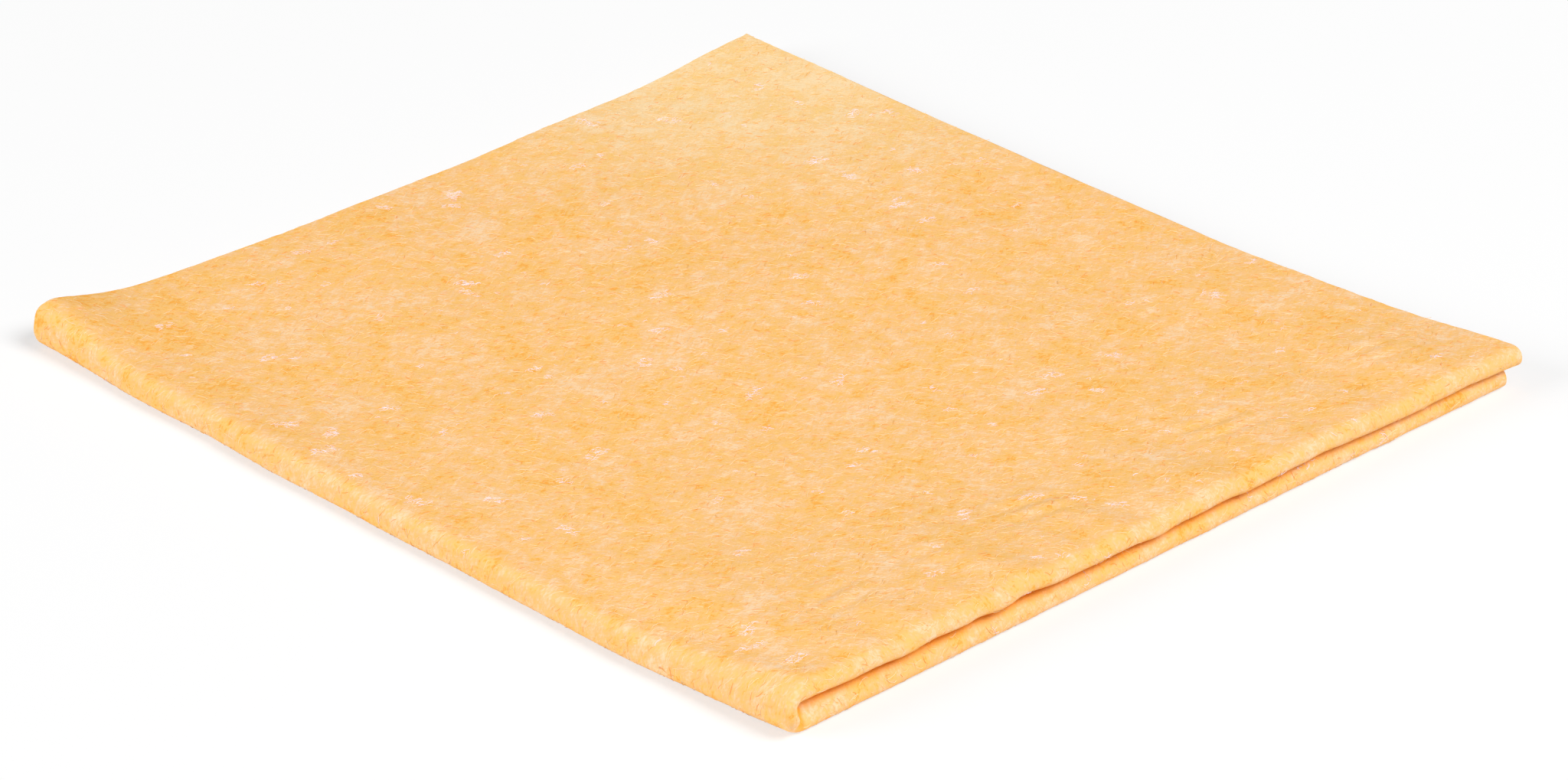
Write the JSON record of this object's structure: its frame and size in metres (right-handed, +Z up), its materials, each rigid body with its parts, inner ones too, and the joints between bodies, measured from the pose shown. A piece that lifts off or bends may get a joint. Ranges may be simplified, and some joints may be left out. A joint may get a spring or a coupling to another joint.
{
  "type": "folded non-woven cloth",
  "caption": "Non-woven scouring cloth, a soft felted rectangular sheet folded into quarters and lying flat; its second fold opens like a book.",
  "frame": {"origin": "under the middle of the folded cloth's box, on the surface that it lies on", "axes": "+Z up; +X towards the first fold's edges, along the second fold; +Y from the second fold towards the cut edges"},
  "size_m": [0.2768, 0.253, 0.0145],
  "materials": {
    "felt": "matte needled viscose felt, orange-yellow with paler and deeper fibres"
  },
  "bodies": {
    "lower_half": {"bottom_leaf": "felt", "lower_inner_leaf": "felt", "lower_edge_fold": "felt", "outer_spine_fold": "felt", "inner_spine_fold": "felt", "corner_fold": "felt"},
    "upper_half": {"upper_inner_leaf": "felt", "top_leaf": "felt", "upper_edge_fold": "felt"}
  },
  "joints": [
    {"name": "book_fold", "type": "hinge", "parent": "lower_half", "child": "upper_half", "pos_m": [0, -0.122, 0.00725], "axis": [1, 0, 0], "range_deg": [0, 180], "deforming": ["outer_spine_fold", "inner_spine_fold", "corner_fold"]}
  ]
}
